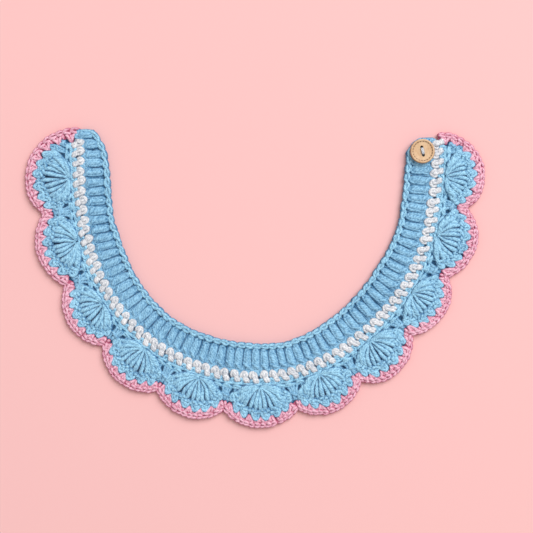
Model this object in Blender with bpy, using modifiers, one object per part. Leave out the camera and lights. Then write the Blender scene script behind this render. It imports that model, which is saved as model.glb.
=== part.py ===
"""Crochet pet collar, buttoned at one end, laid flat and open on a table.

It is worked in rows from the neck outwards: a foundation chain, a band of double crochet, a white and
a blue row of single crochet, eleven shells of eight double crochets with a short anchor stitch between
each two, and a pink edging round the scallops. A wooden button is sewn to the right end, and the left
end has a small buttonhole between its end stitches. Units are metres, Z is up, the underside is z = 0.
"""
import math
from collections import namedtuple

import bmesh
import bpy
from mathutils import Vector

MM = 0.001
SEAM = 0.3 * MM

# The middle line of the white row carries the whole collar. It is a chain of arcs of one length that
# run on into each other, from the left end down, round and up to the right end.
SPINE_START = Vector((-108.7 * MM, 86.4 * MM))
SPINE_HEADING = math.radians(-90.8)
STRETCH = 51.5 * MM
STRETCH_TURNS = (8.2, 24.8, 29.7, 26.0, 32.9, 21.0, 27.0, 11.1)

# The rows, measured outward from the spine (the neck side is negative), and their stitches.
ROW_START = -4.6 * MM
ROW_END = 415.0 * MM
STITCHES = 70
CHAIN_WIDTH = 3.3 * MM
BAND_OUTER = -4.0 * MM
WHITE_INNER = BAND_OUTER + SEAM
WHITE_OUTER = 2.7 * MM
BLUE_INNER = WHITE_OUTER + SEAM
BLUE_OUTER = 6.7 * MM
BLUE_START = 2.9 * MM
BLUE_END = 411.9 * MM

# The neck edge, out from the spine: drawn in at both ends, and a little uneven between them.
NeckLine = namedtuple("NeckLine", "along edge")
NECK_LINE = (
    NeckLine(-4.6 * MM, -9.6 * MM),
    NeckLine(1.0 * MM, -13.8 * MM),
    NeckLine(8.0 * MM, -17.2 * MM),
    NeckLine(20.0 * MM, -19.0 * MM),
    NeckLine(54.0 * MM, -19.1 * MM),
    NeckLine(68.0 * MM, -20.6 * MM),
    NeckLine(108.0 * MM, -20.6 * MM),
    NeckLine(140.0 * MM, -20.0 * MM),
    NeckLine(200.0 * MM, -21.0 * MM),
    NeckLine(232.0 * MM, -19.8 * MM),
    NeckLine(285.0 * MM, -20.4 * MM),
    NeckLine(322.0 * MM, -21.4 * MM),
    NeckLine(358.0 * MM, -19.1 * MM),
    NeckLine(385.0 * MM, -19.8 * MM),
    NeckLine(405.0 * MM, -19.2 * MM),
    NeckLine(411.5 * MM, -16.5 * MM),
    NeckLine(415.0 * MM, -9.6 * MM),
)

# Heights of stitch crowns over the table, and of the grooves between them.
CHAIN_HEIGHT = 3.6 * MM
CHAIN_GROOVE = 2.9 * MM
BAND_HEIGHT = 3.7 * MM
BAND_GROOVE = 2.6 * MM
WHITE_HEIGHT = 4.0 * MM
WHITE_GROOVE = 2.8 * MM
BLUE_HEIGHT = 3.6 * MM
BLUE_GROOVE = 3.0 * MM
SHELL_HEIGHT = 4.5 * MM
SHELL_GROOVE = 3.2 * MM
SHELL_ROOT_HEIGHT = 4.0 * MM
SHELL_ROOT_GROOVE = 3.2 * MM
SHELL_TIP_HEIGHT = 2.8 * MM
EDGING_HEIGHT = 3.6 * MM
EDGING_GROOVE = 3.2 * MM
EDGING_LEG_HEIGHT = 2.6 * MM

# A row's ridge as a share of its width, and the height of its shoulders as a share of the ridge's.
CHAIN_RIDGE = 0.4
CHAIN_SHOULDER = 0.75
CHAIN_WAVE = 0.3 * MM
BAND_SLOPE = 0.9 * MM
WHITE_RIDGE = 0.6
WHITE_SHOULDER = 0.7
BLUE_RIDGE = 0.4
BLUE_SHOULDER = 0.8
SHELL_RIDGE = 0.72
EDGING_RIDGE = 0.85
EDGING_WAVE = 0.25 * MM

# One row a shell: where its middle lies along the spine, and how far its edging reaches out.
Shell = namedtuple("Shell", "middle crown")
SHELLS = (
    Shell(25.2 * MM, 32.3 * MM),
    Shell(63.2 * MM, 30.9 * MM),
    Shell(103.0 * MM, 29.9 * MM),
    Shell(138.7 * MM, 31.0 * MM),
    Shell(174.5 * MM, 30.9 * MM),
    Shell(210.8 * MM, 30.6 * MM),
    Shell(245.8 * MM, 30.5 * MM),
    Shell(281.3 * MM, 31.3 * MM),
    Shell(318.9 * MM, 29.0 * MM),
    Shell(356.0 * MM, 30.3 * MM),
    Shell(391.5 * MM, 29.1 * MM),
)

# One row a valley of the scalloped edge: where it lies along the spine and how far out its mouth is.
Valley = namedtuple("Valley", "along mouth")
VALLEYS = (
    Valley(45.0 * MM, 23.2 * MM),
    Valley(84.5 * MM, 20.9 * MM),
    Valley(121.0 * MM, 20.9 * MM),
    Valley(156.2 * MM, 23.3 * MM),
    Valley(191.8 * MM, 21.3 * MM),
    Valley(229.5 * MM, 22.2 * MM),
    Valley(264.1 * MM, 22.0 * MM),
    Valley(300.4 * MM, 21.1 * MM),
    Valley(336.2 * MM, 20.3 * MM),
    Valley(374.5 * MM, 20.2 * MM),
)

# The edging ends level with the ends of the rows: its inner and outer corner along the spine.
EDGING_LEFT_END = (1.3 * MM, -5.4 * MM)
EDGING_RIGHT_END = (413.1 * MM, 417.9 * MM)
EDGING_END_OUT = BLUE_INNER + 0.3 * MM

# Each scallop is drawn round a point a little out from the spine.
SCALLOP_CENTRE_OUT = 1.7 * MM
EDGING_WIDTH = 5.0 * MM
VALLEY_WIDTH = 6.2 * MM
EDGING_END_STEPS = (0.76, 0.88, 1.0)
STITCHES_PER_SHELL = 6
RIB_CROWN = (0.28, 0.72)
FLANK_SWELL = 0.3
TOOTH_DEPTH = 1.6 * MM
TOOTH_SEAM = 0.4 * MM
SHELL_SHARE = 0.9
END_SHELL_ANGLE = math.radians(49.0)
SHELL_ROOT_OUT = 6.9 * MM
SHELL_ROOT_RADIUS = 0.7 * MM

# The low flank of a shell beside the blue row: shares of the way to its valley, and out from the spine.
Flank = namedtuple("Flank", "share out")
SHELL_FLANK = (Flank(0.72, 7.75 * MM), Flank(0.86, 9.3 * MM), Flank(0.92, 12.0 * MM))
END_SHELL_REACH = 18.0 * MM

# The anchor stitches: plain ones run straight out at a valley, the end ones bend round the last shells.
Anchor = namedtuple("Anchor", "along out half_width")
ANCHOR_BASE_OUT = BLUE_OUTER + SEAM
LEFT_ANCHOR = (
    Anchor(6.2 * MM, ANCHOR_BASE_OUT, 2.6 * MM),
    Anchor(5.3 * MM, 9.7 * MM, 1.9 * MM),
    Anchor(5.0 * MM, 12.4 * MM, 0.8 * MM),
)
RIGHT_ANCHOR = (
    Anchor(408.9 * MM, ANCHOR_BASE_OUT, 2.4 * MM),
    Anchor(409.4 * MM, 9.0 * MM, 1.7 * MM),
    Anchor(409.9 * MM, 11.4 * MM, 0.8 * MM),
)
ANCHOR_HALF_WIDTHS = (3.6 * MM, 1.5 * MM, 0.9 * MM)
ANCHOR_HEIGHT = 3.3 * MM
ANCHOR_SHOULDER = 0.7

BUTTONHOLE_PLACE = (6.9 * MM, -9.8 * MM)
BUTTONHOLE_SIZE = (1.6 * MM, 3.2 * MM)

BUTTON_PLACE = (406.9 * MM, -9.5 * MM)
BUTTON_RADIUS = 7.5 * MM
BUTTON_THICKNESS = 3.0 * MM
BUTTON_DISH = 0.5 * MM
BUTTON_RIM = 1.3 * MM
BUTTON_DISH_SLOPE = 0.6 * MM
BUTTON_SHOULDER = 0.5 * MM
BUTTON_FOOT = 0.9 * MM
BUTTON_HOLE_RADIUS = 1.05 * MM
BUTTON_HOLE_SPACING = 5.0 * MM
BUTTON_HOLE_TURN = math.radians(-78.0)
BUTTON_BASE = BAND_HEIGHT + SEAM
THREAD_RADIUS = 0.6 * MM
THREAD_BEND = 0.8

# Colours as linear red, green and blue.
SKY_BLUE = (0.30, 0.58, 0.79)
WHITE = (0.80, 0.80, 0.82)
PINK = (0.87, 0.35, 0.51)
WOOD = (0.62, 0.38, 0.17)
COTTON_ROUGHNESS = 0.85
WOOD_ROUGHNESS = 0.55


# ------------------------------------------------------------------------------- scene and materials

def clear_scene():
    for item in list(bpy.data.objects):
        bpy.data.objects.remove(item, do_unlink=True)


def new_collection(name):
    collection = bpy.data.collections.new(name)
    bpy.context.scene.collection.children.link(collection)
    return collection


def principled(name, colour, roughness):
    material = bpy.data.materials.new(name)
    material.use_nodes = True
    shader = material.node_tree.nodes["Principled BSDF"]
    shader.inputs["Base Color"].default_value = (*colour, 1.0)
    shader.inputs["Roughness"].default_value = roughness
    shader.inputs["Metallic"].default_value = 0.0
    return material


# -------------------------------------------------------------------------------- places on the collar

def spine(along):
    """Point and heading of the spine at a distance along it; past either end it runs on straight."""
    point = SPINE_START.copy()
    heading = SPINE_HEADING
    remaining = along
    for turn in STRETCH_TURNS:
        if remaining <= 0.0:
            break
        step = min(remaining, STRETCH)
        swing = math.radians(turn) * step / STRETCH
        chord = step * math.sin(swing / 2) / (swing / 2)
        middle = heading + swing / 2
        point += chord * Vector((math.cos(middle), math.sin(middle)))
        heading += swing
        remaining -= step
    point += remaining * Vector((math.cos(heading), math.sin(heading)))
    return point, heading


def on_collar(along, out, height):
    """World point at a distance along the spine and out from it."""
    point, heading = spine(along)
    return Vector((point.x + out * math.sin(heading), point.y - out * math.cos(heading), height))


def local_frame(along):
    """Origin, direction along the spine and direction outwards, at one place on the spine."""
    point, heading = spine(along)
    forward = Vector((math.cos(heading), math.sin(heading), 0.0))
    outward = Vector((math.sin(heading), -math.cos(heading), 0.0))
    return Vector((point.x, point.y, 0.0)), forward, outward


def neck_edge(along):
    """How far out the neck edge lies, read between the rows of its table."""
    for here, there in zip(NECK_LINE, NECK_LINE[1:]):
        if along <= there.along:
            break
    return blend(here.edge, there.edge, (along - here.along) / (there.along - here.along))


def blend(low, high, share):
    return low + (high - low) * share


# ------------------------------------------------------------------------------------------- solids

def loft(name, rings, collection, material):
    """One closed body through a line of rings that all have the same number of points."""
    mesh = bpy.data.meshes.new(name)
    work = bmesh.new()
    loops = [[work.verts.new(point) for point in ring] for ring in rings]
    count = len(loops[0])
    for here, there in zip(loops, loops[1:]):
        for i in range(count):
            j = (i + 1) % count
            work.faces.new((here[i], here[j], there[j], there[i]))
    work.faces.new(loops[0])
    work.faces.new(loops[-1])
    bmesh.ops.recalc_face_normals(work, faces=work.faces)
    work.to_mesh(mesh)
    work.free()
    return add_object(name, mesh, collection, material)


def add_object(name, mesh, collection, material):
    item = bpy.data.objects.new(name, mesh)
    item.data.materials.append(material)
    collection.objects.link(item)
    return item


def stitched_row(name, limits, count, profile, section, collection, material):
    """A row of equal stitches. profile lists (share of the stitch, swell), with swell 0 in a groove
    and 1 on a crown, and section(along, swell) gives the row's outline there."""
    start, end = limits
    pitch = (end - start) / count
    rings = [section(start + (i + share) * pitch, swell) for i in range(count) for share, swell in profile]
    rings.append(section(end, profile[0][1]))
    return loft(name, rings, collection, material)


def neck_chain_section(along, swell):
    edge = neck_edge(along)
    top = blend(CHAIN_GROOVE, CHAIN_HEIGHT, swell)
    return [
        on_collar(along, edge + blend(CHAIN_WAVE, 0.0, swell), 0.0),
        on_collar(along, edge + CHAIN_WIDTH, 0.0),
        on_collar(along, edge + CHAIN_WIDTH, CHAIN_SHOULDER * top),
        on_collar(along, edge + CHAIN_RIDGE * CHAIN_WIDTH, top),
    ]


def neck_band_section(along, swell):
    inner = neck_edge(along) + CHAIN_WIDTH + SEAM
    slope = min(BAND_SLOPE, (BAND_OUTER - inner) / 4)
    top = blend(BAND_GROOVE, BAND_HEIGHT, swell)
    return [
        on_collar(along, inner, 0.0),
        on_collar(along, BAND_OUTER, 0.0),
        on_collar(along, BAND_OUTER - slope, top),
        on_collar(along, inner + slope, top),
    ]


def white_row_section(along, swell):
    top = blend(WHITE_GROOVE, WHITE_HEIGHT, swell)
    return [
        on_collar(along, WHITE_INNER, 0.0),
        on_collar(along, WHITE_OUTER, 0.0),
        on_collar(along, WHITE_OUTER, WHITE_SHOULDER * top),
        on_collar(along, blend(WHITE_INNER, WHITE_OUTER, WHITE_RIDGE), top),
        on_collar(along, WHITE_INNER, WHITE_SHOULDER * top),
    ]


def blue_row_section(along, swell):
    top = blend(BLUE_GROOVE, BLUE_HEIGHT, swell)
    return [
        on_collar(along, BLUE_INNER, 0.0),
        on_collar(along, BLUE_OUTER, 0.0),
        on_collar(along, BLUE_OUTER, BLUE_SHOULDER * top),
        on_collar(along, blend(BLUE_INNER, BLUE_OUTER, BLUE_RIDGE), top),
    ]


# ---------------------------------------------------------------------------------- shells and edging

Side = namedtuple("Side", "inner_angle inner_radius outer_angle outer_radius shell_angle")


def scallop_point(shell, angle, radius, height):
    """A point round the centre of a scallop; angle 0 is straight out, positive towards the right end."""
    origin, forward, outward = local_frame(shell.middle)
    centre = origin + SCALLOP_CENTRE_OUT * outward
    direction = math.sin(angle) * forward + math.cos(angle) * outward
    return centre + radius * direction + Vector((0.0, 0.0, height))


def edging_corners(index, direction):
    """Inner and outer corner of the edging at one flank of a scallop. direction is -1 or 1."""
    place = index + (direction - 1) // 2
    if place < 0:
        inner, outer = EDGING_LEFT_END
    elif place == len(VALLEYS):
        inner, outer = EDGING_RIGHT_END
    else:
        valley = VALLEYS[place]
        inner_out = valley.mouth - VALLEY_WIDTH
        return on_collar(valley.along, inner_out, 0.0), on_collar(valley.along, valley.mouth, 0.0)
    return on_collar(inner, EDGING_END_OUT, 0.0), on_collar(outer, EDGING_END_OUT, 0.0)


def scallop_side(index, direction):
    """Angles and radii at which one flank of a scallop meets its valley or the end of the edging."""
    origin, forward, outward = local_frame(SHELLS[index].middle)
    centre = origin + SCALLOP_CENTRE_OUT * outward
    inner, outer = (corner - centre for corner in edging_corners(index, direction))
    inner_angle = abs(math.atan2(inner.dot(forward), inner.dot(outward)))
    outer_angle = abs(math.atan2(outer.dot(forward), outer.dot(outward)))
    shell_angle = min(SHELL_SHARE * inner_angle, END_SHELL_ANGLE)
    return Side(inner_angle, inner.length, outer_angle, outer.length, shell_angle)


def stitch_angles(sides):
    """Angles across one shell as (angle, swell): a groove, a crown of two points, and so on."""
    steps = []
    half = STITCHES_PER_SHELL / 2
    for i in range(STITCHES_PER_SHELL):
        steps.append((i / half - 1.0, 0.0))
        steps += [((i + share) / half - 1.0, 1.0) for share in RIB_CROWN]
    steps.append((1.0, 0.0))
    return [(share * sides[share > 0].shell_angle, swell) for share, swell in steps]


def inner_radius(shell, sides, angle):
    """Radius of the line between shell and edging, without its teeth."""
    side = sides[angle > 0]
    crown = shell.crown - SCALLOP_CENTRE_OUT - EDGING_WIDTH
    share = min(abs(angle) / side.inner_angle, 1.0)
    return blend(crown, side.inner_radius, share ** 2)


def outer_edge(shell, sides, angle):
    """Angle and radius of the edging's outer edge beside an angle of its inner edge."""
    side = sides[angle > 0]
    crown = shell.crown - SCALLOP_CENTRE_OUT
    share = min(abs(angle) / side.inner_angle, 1.0)
    return math.copysign(share * side.outer_angle, angle), blend(crown, side.outer_radius, share ** 2)


def shell_ring(shell, root, tip, swell):
    """The outline of a shell along one ray from its root to its rim."""
    ray = (tip - root).normalized()
    start = root + SHELL_ROOT_RADIUS * ray
    ridge = blend(SHELL_GROOVE, SHELL_HEIGHT, swell)
    up = Vector((0.0, 0.0, 1.0))
    return [
        start,
        tip,
        tip + SHELL_TIP_HEIGHT * up,
        start.lerp(tip, SHELL_RIDGE) + ridge * up,
        start + blend(SHELL_ROOT_GROOVE, SHELL_ROOT_HEIGHT, swell) * up,
    ]


def shell_flank(index, direction):
    """Rim points of the low flank of a shell, from beside the blue row up to its last tooth."""
    middle = SHELLS[index].middle
    place = index + (direction - 1) // 2
    has_valley = 0 <= place < len(VALLEYS)
    reach = abs(VALLEYS[place].along - middle) if has_valley else END_SHELL_REACH
    return [on_collar(middle + direction * flank.share * reach, flank.out, 0.0) for flank in SHELL_FLANK]


def make_shell(index, collection, material):
    """A fan of six ribs from one root, with a toothed rim and low rounded flanks."""
    shell = SHELLS[index]
    sides = (scallop_side(index, -1), scallop_side(index, 1))
    origin, _, outward = local_frame(shell.middle)
    root = origin + SHELL_ROOT_OUT * outward
    rings = [shell_ring(shell, root, tip, FLANK_SWELL) for tip in shell_flank(index, -1)]
    for angle, swell in stitch_angles(sides):
        radius = inner_radius(shell, sides, angle) - TOOTH_SEAM - TOOTH_DEPTH * (1.0 - swell)
        rings.append(shell_ring(shell, root, scallop_point(shell, angle, radius, 0.0), swell))
    rings += [shell_ring(shell, root, tip, FLANK_SWELL) for tip in reversed(shell_flank(index, 1))]
    return loft(f"shell_{index + 1:02d}", rings, collection, material)


def edging_ring(shell, sides, angle, swell):
    """The outline of the edging: low legs inside, that poke in between the teeth, and a rim outside."""
    inner = inner_radius(shell, sides, angle) - TOOTH_DEPTH * (1.0 - swell)
    outer_angle, outer = outer_edge(shell, sides, angle)
    low = scallop_point(shell, angle, inner, 0.0)
    far = scallop_point(shell, outer_angle, outer - EDGING_WAVE * swell, 0.0)
    up = Vector((0.0, 0.0, 1.0))
    return [
        low,
        far,
        low.lerp(far, EDGING_RIDGE) + blend(EDGING_HEIGHT, EDGING_GROOVE, swell) * up,
        low + EDGING_LEG_HEIGHT * up,
    ]


def make_edging(collection, material):
    """The pink edging, round every scallop in turn from the left end to the right end."""
    rings = []
    for index, shell in enumerate(SHELLS):
        sides = (scallop_side(index, -1), scallop_side(index, 1))
        left, right = (side.inner_angle for side in sides)
        if index == 0:
            rings += [edging_ring(shell, sides, -step * left, 1.0) for step in reversed(EDGING_END_STEPS)]
        rings += [edging_ring(shell, sides, angle, swell) for angle, swell in stitch_angles(sides)]
        steps = EDGING_END_STEPS if index == len(SHELLS) - 1 else EDGING_END_STEPS[-1:]
        rings += [edging_ring(shell, sides, step * right, 1.0) for step in steps]
    return loft("pink_edging", rings, collection, material)


def make_anchor(name, stations, collection, material):
    """The short stitch between two shells, a tapering bar through its stations."""
    rings = []
    for along, out, half in stations:
        rings.append([
            on_collar(along - half, out, 0.0),
            on_collar(along + half, out, 0.0),
            on_collar(along + half, out, ANCHOR_SHOULDER * ANCHOR_HEIGHT),
            on_collar(along, out, ANCHOR_HEIGHT),
            on_collar(along - half, out, ANCHOR_SHOULDER * ANCHOR_HEIGHT),
        ])
    return loft(name, rings, collection, material)


def valley_anchor(valley):
    """Stations of a plain anchor, from the blue row to just inside the edging."""
    tip = valley.mouth - VALLEY_WIDTH - SEAM
    outs = (ANCHOR_BASE_OUT, blend(ANCHOR_BASE_OUT, tip, 0.4), tip)
    return [Anchor(valley.along, out, half) for out, half in zip(outs, ANCHOR_HALF_WIDTHS)]


# ------------------------------------------------------------------------------ buttonhole and button

def cylinder_cutter(name, location, radius, depth, collection):
    bpy.ops.mesh.primitive_cylinder_add(vertices=14, radius=radius, depth=depth, location=location)
    cutter = bpy.context.object
    cutter.name = name
    for owner in list(cutter.users_collection):
        owner.objects.unlink(cutter)
    collection.objects.link(cutter)
    cutter.hide_render = True
    cutter.display_type = "WIRE"
    return cutter


def cut(item, cutter):
    boolean = item.modifiers.new(f"cut_{cutter.name}", "BOOLEAN")
    boolean.operation = "DIFFERENCE"
    boolean.solver = "EXACT"
    boolean.object = cutter


def cut_buttonhole(band, cutters):
    """A slot through the band between its end stitches, longer across the band than along it."""
    along, out = BUTTONHOLE_PLACE
    _, heading = spine(along)
    centre = on_collar(along, out, BAND_HEIGHT / 2)
    cutter = cylinder_cutter("buttonhole_cutter", centre, 0.5, 1.0, cutters)
    cutter.rotation_euler.z = heading
    cutter.scale = (*BUTTONHOLE_SIZE, 3 * BAND_HEIGHT)
    cut(band, cutter)


def make_button(collection, cutters, material):
    """A turned wooden button with a raised rim round a shallow dish, and two holes."""
    dish = BUTTON_RADIUS - BUTTON_RIM
    top = BUTTON_THICKNESS
    profile = [
        (0.0, top - BUTTON_DISH),
        (dish - BUTTON_DISH_SLOPE, top - BUTTON_DISH),
        (dish, top),
        (BUTTON_RADIUS - BUTTON_SHOULDER, top),
        (BUTTON_RADIUS, top - BUTTON_SHOULDER),
        (BUTTON_RADIUS, BUTTON_FOOT),
        (BUTTON_RADIUS - BUTTON_FOOT, 0.0),
        (0.0, 0.0),
    ]
    mesh = bpy.data.meshes.new("button")
    points = [(radius, 0.0, height) for radius, height in profile]
    mesh.from_pydata(points, [(i, i + 1) for i in range(len(points) - 1)], [])
    button = add_object("button", mesh, collection, material)
    button.location = on_collar(*BUTTON_PLACE, BUTTON_BASE)
    screw = button.modifiers.new("turned", "SCREW")
    screw.steps = 36
    screw.render_steps = 36
    screw.use_merge_vertices = True
    screw.merge_threshold = 0.00001
    for sign in (-1, 1):
        place = button.location + sign * BUTTON_HOLE_SPACING / 2 * button_hole_line()
        place.z += BUTTON_THICKNESS / 2
        name = "button_hole_low" if sign > 0 else "button_hole_high"
        cut(button, cylinder_cutter(name, place, BUTTON_HOLE_RADIUS, 3 * BUTTON_THICKNESS, cutters))
    return button


def button_hole_line():
    """Direction on the table from one button hole to the other."""
    return Vector((math.cos(BUTTON_HOLE_TURN), math.sin(BUTTON_HOLE_TURN), 0.0))


def make_thread(collection, material):
    """The sewing thread: down both holes to the band and across the face of the button."""
    centre = on_collar(*BUTTON_PLACE, 0.0)
    half = BUTTON_HOLE_SPACING / 2
    low = BUTTON_BASE
    face = BUTTON_BASE + BUTTON_THICKNESS - BUTTON_DISH
    across = face + THREAD_RADIUS + SEAM
    bend = THREAD_BEND * half
    route = [(-half, low), (-half, face), (-bend, across), (bend, across), (half, face), (half, low)]
    curve = bpy.data.curves.new("button_thread", "CURVE")
    curve.dimensions = "3D"
    curve.bevel_depth = THREAD_RADIUS
    curve.bevel_resolution = 2
    curve.use_fill_caps = True
    spline = curve.splines.new("POLY")
    spline.points.add(len(route) - 1)
    for point, (offset, height) in zip(spline.points, route):
        place = centre + offset * button_hole_line()
        point.co = (place.x, place.y, height, 1.0)
    return add_object("button_thread", curve, collection, material)


# --------------------------------------------------------------------------------------------- build

def build():
    clear_scene()
    collar = new_collection("crochet_pet_collar")
    cutters = new_collection("cutters")
    blue = principled("blue_cotton", SKY_BLUE, COTTON_ROUGHNESS)
    white = principled("white_cotton", WHITE, COTTON_ROUGHNESS)
    pink = principled("pink_cotton", PINK, COTTON_ROUGHNESS)
    wood = principled("button_wood", WOOD, WOOD_ROUGHNESS)

    ends = (ROW_START, ROW_END)
    leaf = ((0.0, 0.0), (0.5, 1.0))
    post = ((0.0, 0.0), (0.22, 1.0), (0.78, 1.0))
    stitched_row("neck_chain", ends, STITCHES, post, neck_chain_section, collar, blue)
    band = stitched_row("neck_band", ends, STITCHES, post, neck_band_section, collar, blue)
    cut_buttonhole(band, cutters)
    stitched_row("white_row", ends, STITCHES, leaf, white_row_section, collar, white)
    stitched_row("blue_row", (BLUE_START, BLUE_END), STITCHES - 1, leaf, blue_row_section, collar, blue)

    for index in range(len(SHELLS)):
        make_shell(index, collar, blue)
    anchors = (LEFT_ANCHOR, *(valley_anchor(valley) for valley in VALLEYS), RIGHT_ANCHOR)
    for index, stations in enumerate(anchors):
        make_anchor(f"anchor_{index:02d}", stations, collar, blue)
    make_edging(collar, pink)

    make_button(collar, cutters, wood)
    make_thread(collar, white)


build()
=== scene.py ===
"""Looks of the crochet pet collar: every row is worked in cotton yarn, stitch by stitch."""
import math
from collections import namedtuple

import bmesh
import bpy
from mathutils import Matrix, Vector


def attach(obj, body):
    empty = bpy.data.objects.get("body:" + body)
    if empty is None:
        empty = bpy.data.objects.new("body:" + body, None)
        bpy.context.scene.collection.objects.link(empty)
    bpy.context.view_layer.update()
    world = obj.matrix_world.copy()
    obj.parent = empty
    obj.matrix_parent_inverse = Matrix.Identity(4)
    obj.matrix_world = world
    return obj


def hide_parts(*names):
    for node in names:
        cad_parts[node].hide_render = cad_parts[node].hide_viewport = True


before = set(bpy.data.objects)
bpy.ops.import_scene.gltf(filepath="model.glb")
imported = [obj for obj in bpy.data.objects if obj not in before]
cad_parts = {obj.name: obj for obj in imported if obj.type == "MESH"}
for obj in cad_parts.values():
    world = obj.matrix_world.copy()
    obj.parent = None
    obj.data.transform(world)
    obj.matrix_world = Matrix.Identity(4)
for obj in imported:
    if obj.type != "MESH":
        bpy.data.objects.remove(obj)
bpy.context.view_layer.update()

MM = 0.001

# ---- neck chain
# The foundation chain that the collar is started on: a plait of soft blue cotton yarn, one link to
# a stitch, along the whole neck edge. Every other row is worked outwards from it.

# The lay of the collar on the table. The middle line of the white row is its spine, a chain of arcs.
SPINE_START = Vector((-108.7 * MM, 86.4 * MM))
SPINE_HEADING = math.radians(-90.8)
STRETCH = 51.5 * MM
STRETCH_TURNS = (8.2, 24.8, 29.7, 26.0, 32.9, 21.0, 27.0, 11.1)


def spine(along):
    """Point and heading of the spine at a distance along it; past either end it runs on straight."""
    point = SPINE_START.copy()
    heading = SPINE_HEADING
    remaining = along
    for turn in STRETCH_TURNS:
        if remaining <= 0.0:
            break
        step = min(remaining, STRETCH)
        swing = math.radians(turn) * step / STRETCH
        chord = step * math.sin(swing / 2) / (swing / 2)
        middle = heading + swing / 2
        point += chord * Vector((math.cos(middle), math.sin(middle)))
        heading += swing
        remaining -= step
    point += remaining * Vector((math.cos(heading), math.sin(heading)))
    return point, heading


def on_collar(along, out, height=0.0):
    """World point at a distance along the spine and out from it."""
    point, heading = spine(along)
    return Vector((point.x + out * math.sin(heading), point.y - out * math.cos(heading), height))


def blend(low, high, share):
    return low + (high - low) * share


# The neck edge, out from the spine: drawn in at both ends, and a little uneven between them.
NeckLine = namedtuple("NeckLine", "along edge")
NECK_LINE = [NeckLine(along * MM, edge * MM) for along, edge in (
    (-4.6, -9.6), (1.0, -13.8), (8.0, -17.2), (20.0, -19.0), (54.0, -19.1), (68.0, -20.6),
    (108.0, -20.6), (140.0, -20.0), (200.0, -21.0), (232.0, -19.8), (285.0, -20.4), (322.0, -21.4),
    (358.0, -19.1), (385.0, -19.8), (405.0, -19.2), (411.5, -16.5), (415.0, -9.6),
)]


def neck_edge(along):
    for here, there in zip(NECK_LINE, NECK_LINE[1:]):
        if along <= there.along:
            break
    return blend(here.edge, there.edge, (along - here.along) / (there.along - here.along))


class Wire:
    """One output in a node tree. Arithmetic on it adds Math nodes, and node() adds any other node."""

    def __init__(self, tree, socket=None):
        self.tree = tree
        self.socket = socket

    @staticmethod
    def pick(sockets, key):
        shown = [socket for socket in sockets if socket.enabled]
        return shown[key] if isinstance(key, int) else next(s for s in shown if s.name == key)

    def node(self, kind, settings=None, inputs=None, output=0):
        made = self.tree.nodes.new(kind)
        for key, value in (settings or {}).items():
            setattr(made, key, value)
        for key, value in (inputs or {}).items():
            slot = self.pick(made.inputs, key)
            if isinstance(value, Wire):
                self.tree.links.new(value.socket, slot)
            else:
                slot.default_value = value
        return Wire(self.tree, self.pick(made.outputs, output)) if len(made.outputs) else None

    def other(self, output):
        """Another output of the same node, by its place or its name."""
        return Wire(self.tree, self.pick(self.socket.node.outputs, output))

    def math(self, operation, *values):
        return self.node("ShaderNodeMath", {"operation": operation}, dict(enumerate(values)))

    def vector(self, operation, *values):
        return self.node("ShaderNodeVectorMath", {"operation": operation}, dict(enumerate(values)))

    def __add__(self, value):
        return self.math("ADD", self, value)

    def __radd__(self, value):
        return self.math("ADD", value, self)

    def __sub__(self, value):
        return self.math("SUBTRACT", self, value)

    def __rsub__(self, value):
        return self.math("SUBTRACT", value, self)

    def __mul__(self, value):
        return self.math("MULTIPLY", self, value)

    def __rmul__(self, value):
        return self.math("MULTIPLY", value, self)


def new_tree(name, takes):
    """A geometry tree with named inputs, given as (name, kind of socket, value). Returns its inputs."""
    tree = bpy.data.node_groups.new(name, "GeometryNodeTree")
    tree.is_modifier = True
    for title, kind, value in takes:
        socket = tree.interface.new_socket(title, in_out="INPUT", socket_type=f"NodeSocket{kind}")
        if value is not None:
            socket.default_value = value
    tree.interface.new_socket("Geometry", in_out="OUTPUT", socket_type="NodeSocketGeometry")
    return Wire(tree).node("NodeGroupInput")


def store(geometry, name, value, kind="FLOAT", domain="POINT"):
    """Keeps a value with the geometry under a name."""
    return geometry.node("GeometryNodeStoreNamedAttribute", {"data_type": kind, "domain": domain},
                         {"Geometry": geometry, "Name": name, "Value": value})


def stored(tree, name, kind="FLOAT"):
    """Reads a value that was kept under a name."""
    return tree.node("GeometryNodeInputNamedAttribute", {"data_type": kind}, {"Name": name})


def axes(vector):
    """The x, y and z of a vector."""
    parts = vector.node("ShaderNodeSeparateXYZ", {}, {"Vector": vector})
    return [parts.other(name) for name in "XYZ"]


# Soft combed cotton yarn of about 2 mm, five plies twisted together.
YARN_RADIUS = 1.05 * MM
YARN_SIDES = 8
YARN_SMOOTHNESS = 2
YARN_PLIES = 5
PLY_TURN = 9.5 * MM
# How thick the uneven yarn is at its thinnest, and how much it swells, as shares of its radius.
THINNEST_YARN = 0.82
YARN_SWELL = 0.4
# No yarn comes nearer to the table than this.
TABLE_GAP = 0.05 * MM
# Stands for no limit along x or y: the collar lies far less than a metre from the middle.
NO_LIMIT = -1.0


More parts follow.
